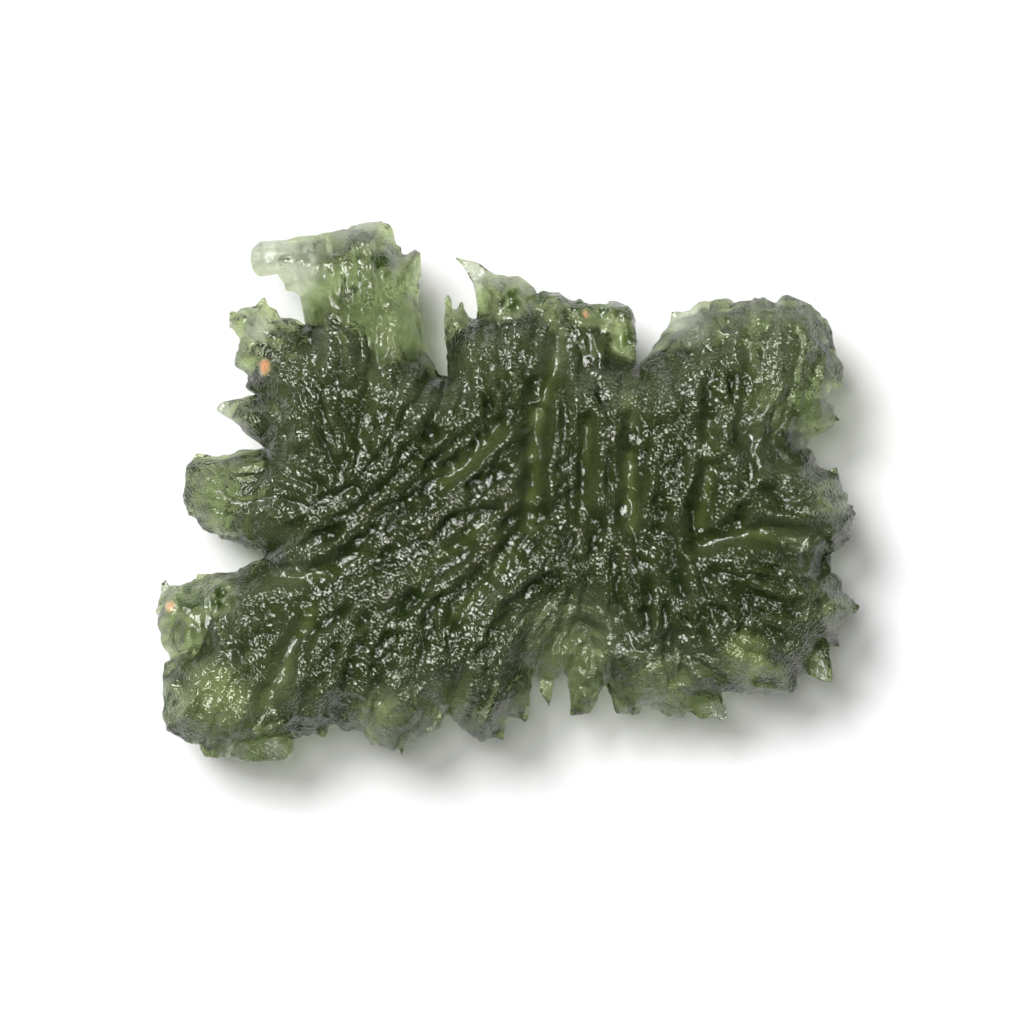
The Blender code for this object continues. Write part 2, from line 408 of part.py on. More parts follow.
def under_height(places, ridges):
    """Height of the underside, worn flat in the foot."""
    upper, lower = swells(places)
    strength = relief_strength(upper, lower)
    relief = BUMP_HEIGHT * lumps(places, BUMP_SIZE, UNDER_BUMPS)
    relief += GRAIN_HEIGHT * lumps(places, GRAIN_SIZE, UNDER_GRAIN)
    relief += profile(places, UNDER_FURROWS, UNDER_FURROW_WIDTH)
    relief -= profile(places, ridges, UNDER_RIDGE_WIDTH)
    relief += notch_furrows(places) + pits(places, UNDER_PITS)
    height = rim_level(places) - lower + strength * relief
    outside = distance(places, FOOT, closed=True)
    height = np.maximum(height, FOOT_CLEARANCE) * smooth(outside / FOOT_BLEND)
    foot = inside(places, FOOT) | (outside < 1e-6)
    return np.where(foot, 0.0, height)


def split_long_steps(outline, longest):
    """The same outline with extra corners where two lie far apart."""
    finer = []
    for start, step in zip(*segments(outline, closed=True)):
        count = max(1, math.ceil(math.hypot(*step) / longest))
        finer += [tuple(start + step * part / count) for part in range(count)]
    return finer


def along_stroke(line, spacing):
    """Evenly spaced places along a line."""
    found = [line[0]]
    for start, step in zip(*segments(line)):
        count = max(1, round(math.hypot(*step) / spacing))
        found += [tuple(start + step * part / count) for part in range(1, count + 1)]
    return found


def net(rim, spacing):
    """Places on an even triangular net that lie inside the rim, clear of it."""
    row_step = spacing * math.sqrt(3.0) / 2.0
    low, high = np.min(rim, axis=0), np.max(rim, axis=0)
    places = [(low[0] + spacing * (column + 0.5 * (row % 2)), low[1] + row * row_step)
              for row in range(int((high[1] - low[1]) / row_step) + 1)
              for column in range(int((high[0] - low[0]) / spacing) + 1)]
    places = np.array(places)
    return places[inside(places, rim) & (distance(places, rim, closed=True) > 0.5 * spacing)]


class Grain:
    """The direction in which the ridges run, read between the guide strokes."""

    def __init__(self, strokes):
        starts, steps = zip(*[segments(line) for _, line in strokes])
        steps = np.vstack(steps)
        self.middles = np.vstack(starts) + steps / 2.0
        turn = 2.0 * np.arctan2(steps[:, 1], steps[:, 0])
        self.doubled = np.stack([np.cos(turn), np.sin(turn)], axis=1)
        self.lengths = np.hypot(*steps.T)

    def direction(self, place):
        """Unit vector along the grain at one place."""
        away = np.sum((self.middles - place) ** 2, axis=1) + GUIDE_BLEND
        pull = (self.lengths / away ** 2) @ self.doubled
        turn = 0.5 * math.atan2(pull[1], pull[0])
        return np.array([math.cos(turn), math.sin(turn)])


def walk(start, sign, grain, room, taken, gap, limit):
    """Places along the grain from a start, until something is in the way."""
    heading = sign * grain.direction(start)
    place, found = start, []
    while len(found) * TRACE_STEP < limit:
        turned = grain.direction(place)
        heading = turned if turned @ heading > 0.0 else -turned
        place = place + TRACE_STEP * heading
        if not room(place) or np.min(np.hypot(*(taken - place).T)) < gap:
            break
        found.append(place)
    return found


def lay_ridges(rim, strokes, spacing, length):
    """Lines that follow the grain between the given strokes, evenly spaced."""
    grain = Grain(strokes)
    border = np.array(split_long_steps(rim, BORDER_STEP))
    taken = np.array([place for _, line in strokes for place in along_stroke(line, TRACE_STEP)])

    def room(place):
        """Whether a place, reached from inside, keeps clear of the rim."""
        return np.min(np.hypot(*(border - place).T)) > RIM_MARGIN

    lines = []
    for start in net(rim, 0.5 * spacing):
        if np.min(np.hypot(*(taken - start).T)) < spacing or not room(start):
            continue
        gap, limit = RIDGE_CROWDING * spacing, length / 2.0
        back = walk(start, -1.0, grain, room, taken, gap, limit)
        ahead = walk(start, 1.0, grain, room, taken, gap, limit)
        line = back[::-1] + [start] + ahead
        taken = np.vstack([taken, line])
        if len(line) * TRACE_STEP > SHORTEST_RIDGE:
            lines.append([tuple(place) for place in line])
    return lines


def thin_line(line, spacing):
    """Every so many places of a traced line, with both its ends."""
    count = max(1, round((len(line) - 1) * TRACE_STEP / spacing))
    return [line[round(part * (len(line) - 1) / count)] for part in range(count + 1)]


def scatter(rim, wanted, spacing, keep_out):
    """Corners for one face: the wanted ones first, then a net where they leave room."""
    wanted = np.vstack([wanted, net(rim, NET_SHARE * spacing)])
    room = EDGE_ROOM * spacing
    clear = inside(wanted, rim) & (distance(wanted, rim, closed=True) > room)
    if keep_out:
        clear &= ~inside(wanted, keep_out) & (distance(wanted, keep_out, closed=True) > room)
    chosen = np.empty((0, 2))
    for place in wanted[clear]:
        if not len(chosen) or np.min(np.hypot(*(chosen - place).T)) > CORNER_ROOM * spacing:
            chosen = np.vstack([chosen, place])
    return [tuple(place) for place in chosen]


def triangulate(rim, places, loops):
    """Corners and triangles of one face, with the given loops kept as edges."""
    corners = [Vector(place) for place in rim]
    edges = [(index, (index + 1) % len(rim)) for index in range(len(rim))]
    for loop in loops:
        first = len(corners)
        corners += [Vector(place) for place in loop]
        edges += [(first + index, first + (index + 1) % len(loop)) for index in range(len(loop))]
    corners += [Vector(place) for place in places]
    found, _, faces, origins, _, _ = delaunay_2d_cdt(corners, edges, [], 1, 1e-7)
    place_of_rim = {}
    for index, sources in enumerate(origins):
        for source in sources:
            if source < len(rim):
                place_of_rim[source] = index
    return np.array([tuple(place) for place in found]), faces, place_of_rim


def ledge_edges():
    """Corners along both brinks of each ledge."""
    places = []
    for _, outline in LEDGES:
        loop = np.array(split_long_steps(outline, LEDGE_STEP))
        following = np.roll(loop, -1, axis=0)
        along = following - loop
        across = np.stack([along[:, 1], -along[:, 0]], axis=1) / np.hypot(*along.T)[:, None]
        for side in (-0.5, 0.5):
            brink = loop + side * LEDGE_SLOPE * across
            places += [tuple(place) for place in brink]
    return places


def face_plan(rim, named, guides, spacing, length, height, corner_step):
    """Ridges of one face, and where its corners are wanted, the most needed first."""
    laid = lay_ridges(rim, guides, spacing, length)
    valleys = lay_ridges(rim, guides + [(0.0, line) for line in laid], VALLEY_SHARE * spacing, length)
    corners = [place for _, line in named for place in along_stroke(line, corner_step)]
    for line in laid + valleys:
        corners += thin_line(line, corner_step)
    return [(height, thin_line(line, corner_step)) for line in laid], corners


def build_stone():
    """The whole stone as one closed mesh."""
    rim = split_long_steps(RIM, RIM_STEP)
    foot = split_long_steps(FOOT, FOOT_STEP)
    top_ridges, top_wanted = face_plan(
        rim, LIPS + RIDGES + TROUGHS, RIDGES + TROUGHS,
        RIDGE_SPACING, RIDGE_LENGTH, RIDGE_HEIGHT, CORNER_STEP)
    under_ridges, under_wanted = face_plan(
        rim, UNDER_FURROWS, UNDER_FURROWS,
        UNDER_RIDGE_SPACING, RIDGE_LENGTH, UNDER_RIDGE_HEIGHT, UNDER_CORNER_STEP)
    top_places = scatter(rim, ledge_edges() + top_wanted, RIDGE_SPACING, None)
    under_places = scatter(rim, under_wanted, UNDER_RIDGE_SPACING, foot)
    top_flat, top_faces, top_rim = triangulate(rim, top_places, [])
    under_flat, under_faces, under_rim = triangulate(rim, under_places, [foot])

    offset = len(top_flat)
    corners = np.vstack([
        np.column_stack([top_flat, top_height(top_flat, RIDGES + top_ridges)]),
        np.column_stack([under_flat, under_height(under_flat, under_ridges)])])
    faces = [tuple(face) for face in top_faces]
    faces += [tuple(offset + index for index in reversed(face)) for face in under_faces]
    for index in range(len(rim)):
        following = (index + 1) % len(rim)
        top_a, top_b = top_rim[index], top_rim[following]
        under_a, under_b = offset + under_rim[index], offset + under_rim[following]
        faces += [(top_a, top_b, under_b), (top_a, under_b, under_a)]

    middle = (corners.min(axis=0) + corners.max(axis=0)) / 2.0
    corners[:, :2] -= middle[:2]
    corners[:, 2] -= corners[:, 2].min()
    mesh = bpy.data.meshes.new(NODE)
    mesh.from_pydata((corners * MM).tolist(), [], faces)
    mesh.validate()
    mesh.update()
    return mesh


def tektite_glass():
    """Deep bottle-green glass with an etched, faintly frosted skin."""
    material = bpy.data.materials.new("tektite_glass")
    material.use_nodes = True
    shader = material.node_tree.nodes["Principled BSDF"]
    shader.inputs["Base Color"].default_value = (0.16, 0.24, 0.07, 1.0)
    shader.inputs["Roughness"].default_value = 0.28
    shader.inputs["IOR"].default_value = 1.49
    shader.inputs["Metallic"].default_value = 0.0
    return material


def main():
    for thing in list(bpy.data.objects):
        bpy.data.objects.remove(thing, do_unlink=True)
    stone = bpy.data.objects.new(NODE, build_stone())
    bpy.context.collection.objects.link(stone)
    stone.data.materials.append(tektite_glass())
    print(NODE, len(stone.data.vertices), "corners,", len(stone.data.polygons), "facets")


main()
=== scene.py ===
"""The looks of a moldavite: etched bottle-green tektite glass, lit softly on a white table.

The visible stone is a finer copy of the solid. Its facets are rounded into one another, and
crests, ripples, lumps and pits are etched into it along the grain of the long ridges. Each
corner then keeps how etched, raised, deep, pale, lit and clear the glass is there, and the
material reads these values. The raised and lit values are painted light: painted shade in the
valleys, a painted sheen on the heights and painted light coming up through the windows."""
import math
from types import SimpleNamespace

import bpy
import numpy as np
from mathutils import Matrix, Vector, noise
from mathutils.bvhtree import BVHTree


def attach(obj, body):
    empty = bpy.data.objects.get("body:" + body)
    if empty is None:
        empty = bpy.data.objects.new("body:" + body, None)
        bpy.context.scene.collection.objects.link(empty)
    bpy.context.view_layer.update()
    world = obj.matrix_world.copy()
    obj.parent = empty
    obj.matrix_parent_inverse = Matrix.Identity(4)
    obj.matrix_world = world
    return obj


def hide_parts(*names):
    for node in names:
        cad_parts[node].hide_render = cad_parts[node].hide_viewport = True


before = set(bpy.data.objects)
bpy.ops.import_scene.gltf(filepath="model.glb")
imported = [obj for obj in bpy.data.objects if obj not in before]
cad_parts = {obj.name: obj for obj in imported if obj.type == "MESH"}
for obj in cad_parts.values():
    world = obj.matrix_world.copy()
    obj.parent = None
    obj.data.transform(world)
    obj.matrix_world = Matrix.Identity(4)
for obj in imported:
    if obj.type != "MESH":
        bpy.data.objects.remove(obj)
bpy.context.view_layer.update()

MM = 0.001

# ---- The fine mesh; sizes in mm --------------------------------------------------
WELD_GAP = 0.002          # corners nearer than this are one corner
FINE_CUTS = 4             # cuts of each facet's edge
FOOT_HEIGHT = 0.005       # corners below this belong to the flat foot
WALL_TILT = 0.75          # upward share of a normal, below which the surface is a wall
WALL_SPREAD = 1.5         # how far the rim reaches past its walls
ROUNDING_ROUNDS = 4       # passes that round the facets into flowing glass
RIM_ROUNDING = 0.25       # share of that rounding which the thin rim gets
NORMAL_ROUNDS = 2         # passes that even out the normals
DEPTH_ROUNDS = 6          # passes that even out the glass depth
BROAD_ROUNDS = 70         # passes after which only the broad form is left
RAY_START = 0.02          # how far inside the skin the glass depth is measured from

# ---- The etching; sizes in mm, places are (x, y) from the stone's middle ----------
RIDGE_SOFTENING = 0.30    # by how much the solid's own sharp ridges are lowered
CREST_WIDTH = 0.21        # of the sharp crests
CREST_SHARE = 0.34        # of a ridge's height that its sharp crest adds
CREST_BEAD = 0.45         # length of the beads that break up a crest
BEAD_DEPTH = 0.5          # how much of the crest they take
TROUGH_WIDTH = 0.36
TROUGH_CALM = 0.8         # how much a trough's floor is smoothed
STREAKS = [(0.46, 0.15), (0.25, 0.10)]    # width and height of the ripples along the grain
STREAK_LENGTH = 2.6
STREAK_STEP = 0.2
STREAK_LEVEL = 0.8        # where the mean ripple lies between valley and crest
STREAK_TABLE = 97         # random numbers along each side of a ripple's table
GRAIN_REACH = 20.0        # half the side of the square in which the grain is worked out
GRAIN_STEP = 0.5          # distance between the places where it is worked out
GRAIN_BLEND = 0.3         # square of the distance at which two strokes' directions mix
LUMPS = [(0.60, 0.10), (0.30, 0.09)]      # size and height of the small lumps
DISC_FADE = 1.5           # radii at which a round place has faded out
PIT_SPACING = 0.55        # between the etched pits
PIT_DEPTH = 0.05
PIT_SIZE = 0.3            # of a middling pit, as a share of the spacing
PIT_SPREAD = 0.4          # how far that share varies
PIT_SCATTER = 7.3         # mixes the pits' sizes
STREAK_CALM = 0.45        # how much of the small relief crests and smooth places lack
RIM_CALM = 0.6            # how much shallower the etching is at the rim
CLEARANCE = 0.5           # height above the table from which the underside is etched in full
FULL_RELIEF = 2.2         # glass thickness from which the fine relief is full
LEAST_RELIEF = 0.30       # share of it that the thinnest glass has

# ---- How the glass looks, by corner ------------------------------------------------
# Frost, the etching too fine for the mesh: plain glass, then what each feature adds to it.
FROST_PLAIN = 0.30
FROST_CREST = 2.0
FROST_RIDGE = 0.8
FROST_RIPPLE = 1.07
FROST_ROUGH = 0.5
FROST_CALM = -0.6
# Relief, painted shade and sheen: darker green in the valleys, paler on the heights and crests.
RELIEF_MIDDLE = 0.45
RELIEF_GAIN = 2.4         # per mm of height
# Body, from thin to deep glass, by the depth of glass in mm.
THIN_DEPTH = 1.2
DEEP_DEPTH = 5.6
# Clearness: plain glass, then what each kind of glass takes from it.
CLEAR_PLAIN = 0.98
BODY_VEIL = 0.26
GLOW_VEIL = 0.15
DARK_VEIL = 0.50
DARK_GRAIN = 0.7          # size of the mottling in the dark places, mm
DARK_MOTTLE = 1.6         # its strength
GLOW_SIZE = 1.6           # length of the stretches of painted light along a trough, mm
TROUGH_GLOW = 0.8         # how much painted light a trough gets, beside a window's
# Starting points of the random patterns.
BEAD_SEED, LUMP_SEED, DARK_SEED, GLOW_SEED = 31.0, 3.0, 53.0, 47.0
UPPER_SEED, UNDER_SEED = 11, 21

# Crests of the upper face: height of the ridge under it, then the line.
CRESTS = [
    # across the middle, running down to the left
    (0.50, [(0.2, 2.8), (-1.6, 1.0), (-3.0, 0.1)]),
    (0.42, [(1.0, 1.6), (0.2, 0.4), (-0.9, -0.5)]),
    (0.45, [(0.75, -0.4), (-0.7, -1.4), (-1.6, -2.3)]),
    (0.40, [(-2.1, -0.15), (-2.9, -0.85), (-3.8, -1.85), (-5.0, -2.6)]),
    (0.45, [(-0.4, -2.3), (-1.6, -3.45), (-2.55, -4.0), (-3.7, -5.05)]),
    (0.45, [(1.3, -4.0), (-0.15, -5.15), (-0.85, -5.85), (-1.4, -7.45)]),
    (0.45, [(-3.0, -3.0), (-4.15, -3.45), (-5.05, -3.8), (-6.4, -4.9)]),
    (0.40, [(-5.0, 0.6), (-6.2, -0.4), (-7.3, -1.6)]),
    (0.40, [(-8.2, -0.8), (-9.6, -1.6), (-11.05, -3.4)]),
    # lower left
    (0.45, [(-5.9, -4.5), (-7.4, -5.65), (-8.0, -6.5), (-9.2, -7.5)]),
    (0.50, [(-4.4, -3.9), (-5.85, -5.1), (-6.45, -6.25), (-7.9, -7.5), (-8.4, -8.65)]),
    (0.40, [(-6.8, -4.2), (-8.4, -5.3), (-9.5, -6.2)]),
    (0.40, [(-8.4, -9.2), (-9.2, -10.1), (-9.5, -11.2)]),
    (0.42, [(-11.3, -7.0), (-12.0, -8.6), (-12.9, -10.2), (-13.5, -11.6)]),
    (0.38, [(-14.5, -6.5), (-14.2, -7.8), (-14.6, -8.5), (-15.4, -9.1)]),
    (0.38, [(-13.1, -5.1), (-11.5, -4.95), (-10.2, -5.0)]),
    (0.35, [(-4.6, -6.4), (-5.2, -8.4), (-5.4, -10.6)]),
    (0.35, [(-3.2, -6.2), (-3.5, -7.8), (-4.0, -9.6)]),
    (0.35, [(-14.9, 0.6), (-13.0, 0.1), (-11.5, 0.6), (-10.0, 0.0)]),
    # upper left
    (0.45, [(-7.9, 9.5), (-7.8, 7.25), (-7.75, 5.6)]),
    (0.35, [(-8.9, 8.5), (-8.9, 6.95), (-9.0, 5.7)]),
    (0.35, [(-9.0, 4.4), (-8.7, 3.4), (-8.2, 2.0)]),
    (0.35, [(-5.2, 4.4), (-5.85, 3.4), (-6.5, 2.2)]),
    (0.30, [(-5.9, 11.6), (-5.6, 9.6), (-5.5, 7.2), (-5.9, 5.6)]),
    (0.30, [(-12.9, 7.0), (-11.4, 6.3), (-10.4, 5.6)]),
    # upper middle
    (0.40, [(2.25, 8.6), (1.7, 7.4), (1.5, 6.0)]),
    (0.45, [(3.2, 5.9), (3.4, 4.5), (3.3, 2.6)]),
    (0.42, [(4.15, 4.8), (4.5, 3.4), (4.6, 1.4), (4.5, -0.6)]),
    (0.50, [(2.5, 4.5), (2.35, 2.6), (2.1, 1.2), (2.2, -0.4)]),
    (0.45, [(5.4, 5.45), (5.4, 3.0), (5.3, 1.0)]),
    (0.40, [(-0.9, 7.2), (-0.7, 5.4), (-0.6, 4.0)]),
    (0.35, [(0.5, 8.4), (0.4, 6.4), (0.5, 4.6)]),
    # right of the middle, upright
    (0.50, [(8.3, 4.4), (7.5, 1.95), (7.1, 0.25), (6.7, -1.4)]),
    (0.45, [(11.2, 4.2), (10.9, 3.0), (10.3, 1.7)]),
    (0.45, [(9.3, 2.6), (9.1, 0.6), (8.4, -0.6), (8.4, -1.75), (8.5, -2.8)]),
    (0.42, [(8.9, -3.3), (9.2, -4.8), (8.6, -6.5)]),
    (0.45, [(12.8, 0.63), (11.5, -0.32), (10.2, -1.47)]),
    (0.45, [(9.6, -3.4), (10.2, -3.2), (11.5, -2.8), (13.2, -3.2)]),
    (0.42, [(10.05, -4.5), (10.7, -5.3), (11.2, -6.4)]),
    (0.42, [(4.95, -1.9), (4.75, -3.1), (4.85, -5.4)]),
    (0.42, [(5.55, -2.1), (5.9, -4.6), (6.3, -6.4)]),
    (0.40, [(7.2, -3.0), (7.5, -4.8), (7.4, -7.0)]),
    (0.40, [(10.3, -7.6), (11.7, -8.45), (13.4, -8.9)]),
    (0.40, [(11.3, 1.9), (11.5, 0.6), (12.9, -1.1), (14.6, -1.3), (16.2, -0.8)]),
    (0.40, [(12.2, -4.6), (13.8, -5.1), (15.6, -5.0)]),
    (0.40, [(12.6, -6.4), (14.2, -6.4), (15.6, -6.2)]),
    (0.38, [(13.6, 0.9), (15.0, 0.6), (16.1, 0.5)]),
    # upper right lobe
    (0.38, [(11.0, 8.7), (11.4, 7.7), (11.3, 6.4)]),
    (0.35, [(12.5, 9.3), (12.4, 8.2), (12.3, 6.6)]),
    (0.38, [(13.7, 9.3), (13.5, 7.6), (13.6, 5.3), (13.2, 4.5)]),
    (0.38, [(15.7, 6.2), (15.4, 4.6), (15.3, 3.5)]),
    (0.38, [(14.9, 8.2), (14.7, 6.6), (14.6, 5.2)]),
    (0.38, [(9.7, 7.0), (10.4, 6.0), (10.6, 4.8)]),
    (0.38, [(6.6, 5.65), (6.3, 4.2), (7.2, 3.8), (7.9, 5.2)]),
    # shorter crests between the long ones
    (0.35, [(0.75, 1.35), (-0.15, -0.15)]),
    (0.35, [(-2.55, -1.85), (-3.55, -2.85)]),
    (0.35, [(-0.25, -3.1), (-1.05, -3.9)]),
    (0.35, [(-0.2, 2.9), (-1.2, 1.8)]),
    (0.35, [(-9.46, -4.69), (-10.2, -5.1)]),
    (0.35, [(-12.0, -9.4), (-12.7, -9.9), (-13.2, -11.15)]),
    (0.35, [(-11.5, 0.6), (-10.5, 0.04)]),
    (0.35, [(3.4, 3.6), (3.3, 2.4)]),
    (0.35, [(8.7, 3.4), (8.4, 2.55), (8.2, 2.2)]),
    (0.35, [(9.4, 1.97), (9.1, 0.45)]),
    (0.35, [(12.9, -1.1), (12.0, -1.4)]),
    (0.35, [(8.1, -4.8), (8.5, -6.5)]),
    (0.35, [(10.6, -6.6), (10.5, -7.4)]),
    (0.35, [(11.9, 8.7), (11.8, 8.1)]),
    (0.35, [(13.2, 6.15), (13.1, 4.5)]),
    (0.35, [(11.5, 3.3), (12.8, 3.6)]),
    (0.35, [(7.9, 5.2), (7.8, 4.3), (7.2, 3.6)]),
    (0.40, [(4.95, -2.75), (4.3, -3.2), (4.25, -5.3)])]

# Smooth troughs of the upper face: depth, then the line of the floor.
TROUGHS = [
    (0.55, [(-0.6, 3.05), (-2.1, 1.35), (-3.45, 0.55)]),
    (0.75, [(1.45, 3.9), (1.25, 0.9), (1.05, -1.75)]),
    (0.60, [(2.5, 7.75), (2.15, 5.8), (1.7, 4.5)]),
    (0.55, [(5.3, 8.3), (5.8, 5.2), (6.1, 3.5)]),
    (0.60, [(6.0, 1.7), (6.1, -1.75)]),
    (0.60, [(-9.7, -5.9), (-10.6, -7.2), (-11.2, -9.0), (-12.0, -11.0)]),
    (0.45, [(-1.0, -1.6), (-2.6, -2.7), (-4.6, -4.4)]),
    (0.45, [(0.6, -2.6), (-1.0, -4.3), (-2.6, -6.0)]),
    (0.45, [(9.9, 3.2), (9.9, 0.6), (9.6, -1.6)]),
    (0.50, [(14.6, -2.4), (12.0, -2.0), (9.4, -2.6)]),
    (0.40, [(3.9, 3.4), (3.9, 0.6), (3.6, -1.2)]),
    (0.40, [(-7.1, -3.2), (-9.2, -4.1), (-11.6, -4.3)]),
    (0.35, [(-6.8, 7.6), (-6.6, 5.2), (-7.2, 2.8)]),
    (0.35, [(12.0, 8.6), (12.0, 6.2), (12.4, 4.6)])]

# Smooth places without ripples or pits: centre, radius.
SMOOTH_PLACES = [
    ((-11.3, 11.5), 2.0), ((-9.4, 10.6), 1.6), ((-6.3, 10.8), 1.2),
    ((-12.3, 8.0), 1.0), ((9.0, 8.2), 1.3), ((13.2, 3.1), 1.9), ((4.2, 7.7), 1.5),
    ((-15.5, -7.0), 1.3), ((0.0, 9.2), 1.2), ((-13.0, 1.9), 0.8), ((-14.3, 4.05), 0.8),
    ((16.2, -7.2), 0.9), ((15.6, -8.8), 0.9), ((9.9, -10.8), 1.0)]

# Rough, bright, close-pitted places: centre, radius.
ROUGH_PLACES = [
    ((2.9, -2.2), 1.3), ((3.0, -4.2), 1.2), ((-5.0, 0.5), 0.8), ((-5.5, -1.2), 0.7),
    ((-6.8, -3.7), 0.9), ((2.2, 0.6), 0.9), ((-1.3, -8.6), 1.2), ((12.4, -6.6), 1.4),
    ((3.6, 9.4), 1.9), ((5.9, 9.0), 0.9), ((14.2, -0.4), 1.2), ((-11.8, 7.0), 0.9),
    ((15.6, -0.6), 1.2), ((15.2, -5.4), 1.4), ((11.0, -8.4), 1.2), ((14.6, -8.2), 1.0),
    ((-16.6, -10.6), 0.9)]

# Places where the glass is clearer and paler than the rest: centre, radius.
PALE_PLACES = [
    ((-11.8, 11.9), 1.1), ((-10.2, 11.2), 1.2), ((-7.6, 13.0), 1.0), ((-14.3, 4.05), 0.7),
    ((9.1, 8.2), 1.0), ((-13.6, -12.9), 0.6), ((-11.6, -12.9), 0.5), ((-1.7, 10.8), 0.8),
    ((-17.0, -4.7), 0.5), ((10.6, -11.0), 0.6), ((-12.3, 8.0), 0.6), ((16.6, 2.7), 0.5)]

# Places where the glass is coloured darker and lets less light through: centre, radius.
DARK_PLACES = [
    ((2.1, 9.7), 1.0), ((3.3, 9.6), 1.0), ((4.6, 9.4), 1.0), ((5.8, 9.2), 0.9), ((6.3, 8.2), 0.6),
    ((0.0, 9.6), 0.9), ((-6.3, 11.3), 0.9), ((2.7, 9.2), 0.9), ((4.0, 9.1), 0.8), ((6.0, 7.4), 0.7),
    ((-15.7, -5.3), 1.0), ((-14.4, -5.2), 0.8), ((16.0, -0.4), 0.8), ((16.4, -6.0), 0.7),
    ((-17.0, -10.5), 0.9), ((12.8, -9.4), 1.0)]

# Windows, where light coming up through the glass is painted in as a brighter green: centre, radius.
WINDOWS = [
    ((9.1, 8.2), 0.9), ((3.2, -7.2), 1.8), ((2.5, -8.6), 1.4), ((-14.5, -10.2), 1.5), ((-5.6, 7.8), 1.0),
    ((-3.0, -10.4), 1.0), ((-6.5, -11.2), 1.2), ((7.6, -9.6), 1.3), ((11.6, -8.2), 1.1)]

# Specks of clay left in the furrows: centre, radius.
CLAY_SPECKS = [
    ((-12.05, 6.3), 0.26), ((-12.05, 6.05), 0.24), ((-16.77, -5.7), 0.22), ((3.85, 8.8), 0.14)]

# Long furrows of the underside, from the foot outwards: depth, line.
UNDER_FURROWS = [
    (0.6, [(5.6, 0.4), (9.4, 0.9), (13.2, 0.3)]), (0.6, [(5.0, -3.4), (7.6, -5.6), (9.2, -8.2)]),
    (0.6, [(0.6, -5.2), (0.2, -7.8), (-0.4, -10.2)]), (0.6, [(-5.6, -3.9), (-8.2, -6.6), (-11.4, -9.4)]),
    (0.6, [(-6.4, 0.8), (-9.6, 0.9), (-13.2, 0.4)]), (0.6, [(-4.6, 3.8), (-6.6, 6.9), (-7.9, 9.9)]),
    (0.6, [(0.4, 4.6), (0.2, 7.2), (0.0, 9.2)]), (0.6, [(4.4, 3.6), (8.2, 5.6), (12.4, 7.4)]),
    (0.45, [(6.2, -1.4), (10.2, -2.2), (14.4, -1.6)]), (0.45, [(-2.8, -5.0), (-4.8, -8.2), (-6.2, -10.9)]),
    (0.45, [(-6.6, -1.6), (-10.4, -2.9), (-14.6, -5.8)]), (0.45, [(6.0, 2.0), (9.8, 3.3), (13.9, 4.6)])]

# ---- The glass and the paper -----------------------------------------------------
REFRACTION = 1.49         # of tektite glass
GLOSS = 0.78              # its reflection, raised for the skin's lustre
PIT_WIDTH = 0.18          # of the finest etched pits, drawn as coarse as they need to show, mm
PIT_RELIEF = 0.070        # their depth, mm
GRIT_WIDTH = 0.13         # of the grit between them, mm
GRIT_RELIEF = 0.027       # its height, mm
FULL_FROST = 0.6          # frost from which the pits and grit are full
PIT_STRENGTH = (0.3, 0.9)       # on clear and on frosted glass
GRIT_STRENGTH = (0.6, 1.0)
SHEEN_FROST = 0.35        # frost from which the skin is at its glossiest
SKIN_ROUGHNESS = (0.13, 0.045)  # of the smooth skin, and of the glossy walls of the pits
THIN_GREEN, PALE_GREEN = "#bcca95", "#d7ddc8"
# The valley and height greens are painted shade in the valleys and a painted sheen on the heights; the
# glow green is painted light.
VALLEY_SHADE_GREEN, HEIGHT_SHEEN_GREEN, GLOW_GREEN = "#38481f", "#677146", "#8e9d5d"
CLAY = "#c98f66"
INNER_GREEN = "#89a059"   # what light keeps on its way through the glass
INNER_DENSITY = 220.0     # how fast it takes that colour, per metre
PAPER_WHITE = "#e7e7e7"
FIRST_COLOUR, SECOND_COLOUR, MIXED_COLOUR = 6, 7, 2   # a Mix node's colour sockets

# ---- The camera's frame ----------------------------------------------------------
IMAGE_PIXELS = 1024
PIXELS_PER_MM = 20.0
STONE_MIDDLE_PIXEL = (508.0, 492.0)
CAMERA_HEIGHT = 0.6
CAMERA_CLIP = 0.01
SENSOR_WIDTH = 36.0

# ---- Table and light -------------------------------------------------------------
FLOOR_SIZE = 4.0
FLOOR_DROP = 0.02 * MM    # the paper lies this far below the foot, so that no faces meet
LAMP_DISTANCE = 0.9
LAMP_STAGGER = 0.001      # how much nearer a lamp stands per unit of brightness, so none touch
# Lamps: azimuth from +X towards +Y and elevation in degrees, angle from the middle of the
# lamp to its edge, brightness (white paper is 1).
LAMPS = {
    "softbox": (132.0, 55.0, 15.0, 18.5),
    "overhead": (132.0, 82.0, 9.0, 11.5),
    "fill": (318.0, 56.0, 5.5, 20.0)}
SKY_WHITE = "#ffffff"
SKY_STRENGTH = 0.04
LIGHT_BOUNCES = 8         # enough for light to cross the glass and its folds


# ---- Small helpers ---------------------------------------------------------------
def linear(hex_colour):
    """An sRGB hex colour as linear red, green, blue and alpha."""
    parts = [int(hex_colour[i:i + 2], 16) / 255.0 for i in (1, 3, 5)]
    return [p / 12.92 if p <= 0.04045 else ((p + 0.055) / 1.055) ** 2.4 for p in parts] + [1.0]


def add_node(tree, kind, inputs=None, **settings):
    """A node with its settings, its input values and its links."""
    node = tree.nodes.new(kind)
    for name, value in settings.items():
        setattr(node, name, value)
    for name, value in (inputs or {}).items():
        if isinstance(value, bpy.types.NodeSocket):
            tree.links.new(value, node.inputs[name])
        else:
            node.inputs[name].default_value = value
    return node


def new_material(name):
    """An empty node material and its output node."""
    material = bpy.data.materials.new(name)
    material.use_nodes = True
    material.node_tree.nodes.clear()
    return material, add_node(material.node_tree, "ShaderNodeOutputMaterial")


